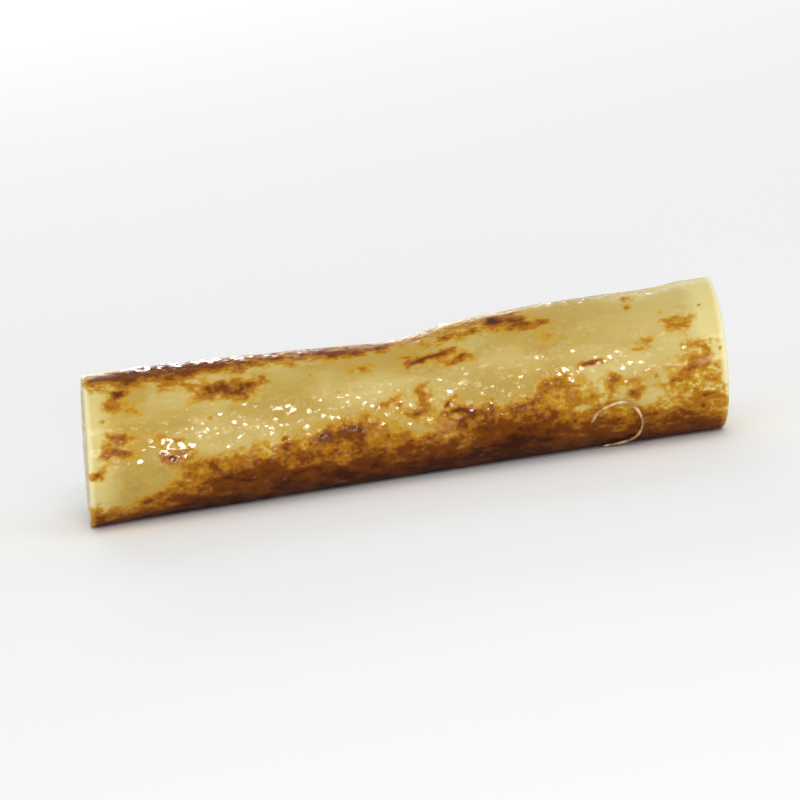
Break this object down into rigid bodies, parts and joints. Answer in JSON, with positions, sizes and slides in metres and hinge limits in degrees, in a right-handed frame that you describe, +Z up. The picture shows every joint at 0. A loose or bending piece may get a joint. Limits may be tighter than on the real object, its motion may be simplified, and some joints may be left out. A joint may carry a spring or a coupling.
{
  "type": "burdock root",
  "caption": "Cut length of pickled burdock root: a slightly bowed, waisted cylinder with scraped brown skin and two knife-cut ends, lying on its side.",
  "frame": {"origin": "on the surface that the root lies on, under the middle of its box", "axes": "+X along the root towards its thicker end, +Z up, +Y towards its back, the side that bows out"},
  "size_m": [0.0668, 0.0168, 0.0154],
  "materials": {
    "root_flesh": "wet and glossy straw-coloured flesh with patches of thin brown skin left by scraping"
  },
  "bodies": {
    "root": {"burdock_root": "root_flesh"}
  },
  "joints": []
}
